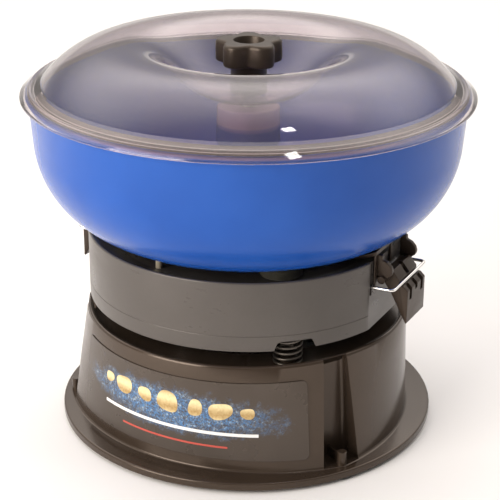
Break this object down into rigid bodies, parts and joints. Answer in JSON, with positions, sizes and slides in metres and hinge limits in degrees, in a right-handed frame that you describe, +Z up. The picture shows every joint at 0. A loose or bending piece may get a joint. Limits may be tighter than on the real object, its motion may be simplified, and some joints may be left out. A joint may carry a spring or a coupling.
{
  "type": "vibratory rock tumbler",
  "caption": "Vibratory rock tumbler: ring-shaped bowl with a clear domed lid and star knob, latched to a sprung motor drum on a lobed base.",
  "frame": {"origin": "on the ground under the middle of the base, on the axis shared by base, drum, bowl and lid", "axes": "+Z up along that axis; -Y is the front, with the label panel facing front left; the latches are at azimuths -27.2 and 152.8 degrees from +X"},
  "size_m": [0.355, 0.355, 0.3122],
  "materials": {
    "black_plastic": "satin",
    "drum_plastic": "satin",
    "blue_plastic": "gloss",
    "clear_plastic": "clear, slightly smoky",
    "knob_plastic": "matte",
    "black_rubber": "matte",
    "pad_rubber": "matte",
    "gasket_rubber": "matte",
    "beige_nylon": "satin",
    "zinc_steel": "zinc plated",
    "bright_wire": "polished",
    "lamination_steel": "stacked laminations",
    "copper_winding": "varnished",
    "label_film": "printed film"
  },
  "bodies": {
    "base": {"base_housing": "black_plastic", "foot_1": "black_rubber", "foot_2": "black_rubber", "foot_3": "black_rubber", "cord_gland": "black_rubber", "foot_screw_1": "zinc_steel", "foot_screw_2": "zinc_steel", "foot_screw_3": "zinc_steel", "spring_1": "zinc_steel", "spring_2": "zinc_steel", "spring_3": "zinc_steel", "label_plate": "label_film"},
    "drum": {"drum_shroud": "drum_plastic", "bowl_pad_1": "pad_rubber", "bowl_pad_2": "pad_rubber", "bowl_pad_3": "pad_rubber", "bowl_pad_4": "pad_rubber", "locating_pin_front": "beige_nylon", "locating_pin_rear": "beige_nylon", "motor_plate": "zinc_steel", "plate_bolt_1": "zinc_steel", "plate_bolt_2": "zinc_steel", "plate_bolt_3": "zinc_steel", "motor_bolt_front": "zinc_steel", "motor_bolt_rear": "zinc_steel", "bearing_top": "zinc_steel", "bearing_bottom": "zinc_steel", "stator_core": "lamination_steel", "winding_top": "copper_winding", "winding_bottom": "copper_winding", "end_bell_top": "black_plastic", "end_bell_bottom": "black_plastic"},
    "rotor": {"motor_shaft": "zinc_steel", "eccentric_weight": "zinc_steel", "weight_set_screw": "zinc_steel", "rotor_core": "lamination_steel", "cooling_fan": "black_plastic"},
    "bowl": {"bowl": "blue_plastic", "lid_stud": "zinc_steel", "stud_washer": "zinc_steel", "stud_nut": "zinc_steel", "bracket_screw_left_1": "zinc_steel", "bracket_screw_left_2": "zinc_steel", "bracket_screw_right_1": "zinc_steel", "bracket_screw_right_2": "zinc_steel", "latch_bracket_left": "black_plastic", "latch_bracket_right": "black_plastic"},
    "handle_right": {"latch_handle_right": "black_plastic"},
    "bail_right": {"latch_bail_right": "bright_wire"},
    "handle_left": {"latch_handle_left": "black_plastic"},
    "bail_left": {"latch_bail_left": "bright_wire"},
    "lid": {"lid": "clear_plastic", "lid_gasket": "gasket_rubber"},
    "washer": {"knob_washer": "zinc_steel"},
    "knob": {"knob": "knob_plastic", "knob_insert": "zinc_steel"}
  },
  "joints": [
    {"name": "drum_bounce", "type": "slide", "parent": "base", "child": "drum", "axis": [0, 0, 1], "range_m": [-0.003, 0.003], "stiffness_N_per_m": 24000, "springref_m": 0.00193, "deforming": ["spring_1", "spring_2", "spring_3"]},
    {"name": "rotor_spin", "type": "hinge", "parent": "drum", "child": "rotor", "pos_m": [0, 0, 0.1155], "axis": [0, 0, 1], "continuous": true},
    {"name": "bowl_lift", "type": "slide", "parent": "drum", "child": "bowl", "axis": [0, 0, 1], "range_m": [0, 0.09]},
    {"name": "latch_handle_right", "type": "hinge", "parent": "bowl", "child": "handle_right", "pos_m": [0.11447, -0.05883, 0.1466], "axis": [-0.4571, -0.8894, 0], "range_deg": [0, 60]},
    {"name": "latch_bail_right", "type": "hinge", "parent": "handle_right", "child": "bail_right", "pos_m": [0.12585, -0.06468, 0.1425], "axis": [0.4571, 0.8894, 0], "range_deg": [0, 60]},
    {"name": "latch_handle_left", "type": "hinge", "parent": "bowl", "child": "handle_left", "pos_m": [-0.11447, 0.05883, 0.1466], "axis": [0.4571, 0.8894, 0], "range_deg": [0, 60]},
    {"name": "latch_bail_left", "type": "hinge", "parent": "handle_left", "child": "bail_left", "pos_m": [-0.12585, 0.06468, 0.1425], "axis": [-0.4571, -0.8894, 0], "range_deg": [0, 60]},
    {"name": "lid_lift", "type": "slide", "parent": "bowl", "child": "lid", "axis": [0, 0, 1], "range_m": [0, 0.08]},
    {"name": "knob_rise", "type": "slide", "parent": "lid", "child": "washer", "axis": [0, 0, 1], "range_m": [0, 0.02116]},
    {"name": "knob_turn", "type": "hinge", "parent": "washer", "child": "knob", "pos_m": [0, 0, 0.2736], "axis": [0, 0, 1], "range_deg": [0, 5400]}
  ],
  "couplings": [
    {"joint": "knob_rise", "follows": "knob_turn", "m_per_rad": 0.00022457}
  ]
}
